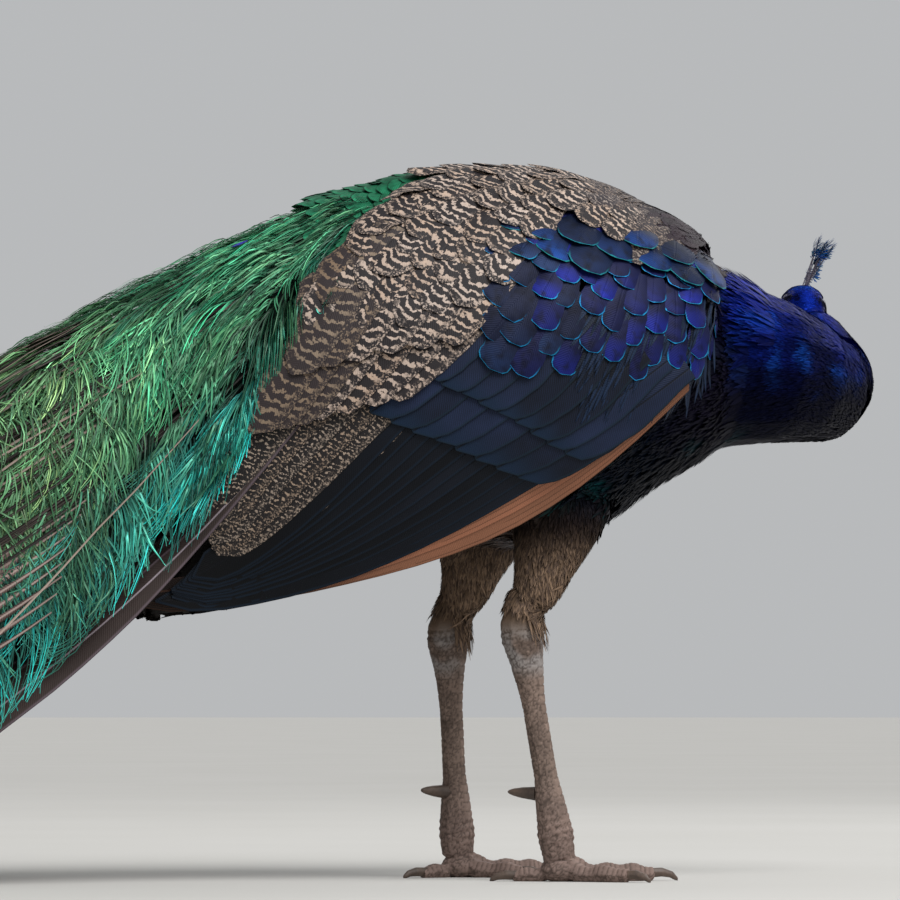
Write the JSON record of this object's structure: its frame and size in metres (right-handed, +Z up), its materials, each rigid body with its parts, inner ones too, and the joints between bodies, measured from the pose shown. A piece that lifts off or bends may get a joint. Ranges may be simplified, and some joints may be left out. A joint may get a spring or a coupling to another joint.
{
  "type": "peacock",
  "caption": "Life-size still model of a male Indian peafowl standing on its feet, head turned to its left, long train laid back along the floor.",
  "frame": {"origin": "on the floor, under the middle of the overall box", "axes": "+X the way the body faces and along the train's length, +Y the bird's left, +Z up"},
  "size_m": [1.5216, 0.384, 0.4594],
  "materials": {
    "blue": "glossy deep blue neck and head feathers",
    "breast": "blue-black belly feathers",
    "thigh": "short soft brown thigh feathers",
    "barred": "cream bars on dark brown feathers",
    "covert": "violet-blue scale-like feathers",
    "slate": "satin blue-black flight feathers",
    "chestnut": "matte buff-orange flight feathers",
    "green": "glossy metallic green feathers",
    "brown": "matte grey-brown tail feathers",
    "leg": "dull scaly skin",
    "horn": "smooth horn",
    "eye": "wet, glossy dark brown"
  },
  "bodies": {
    "root": {"thigh_right": "thigh", "tarsus_right": "leg", "spur_right": "horn", "foot_right": "leg", "claw_middle_right": "horn", "claw_inner_right": "horn", "claw_outer_right": "horn", "claw_hind_right": "horn", "eye_right": "eye", "scapulars_right": "barred", "coverts_right": "covert", "tertials_right": "barred", "secondaries_right": "slate", "primaries_right": "chestnut", "thigh_left": "thigh", "tarsus_left": "leg", "spur_left": "horn", "foot_left": "leg", "claw_middle_left": "horn", "claw_inner_left": "horn", "claw_outer_left": "horn", "claw_hind_left": "horn", "eye_left": "eye", "scapulars_left": "barred", "coverts_left": "covert", "tertials_left": "barred", "secondaries_left": "slate", "primaries_left": "chestnut", "neck_lower": "blue", "neck_middle": "blue", "neck_upper": "blue", "head": "blue", "crest": "blue", "trunk": "breast", "vent": "breast", "bill_upper": "horn", "bill_lower": "horn", "mantle": "green", "train_root": "green", "train_upper": "green", "train_middle": "green", "train_end": "green", "tail": "brown"}
  },
  "joints": []
}
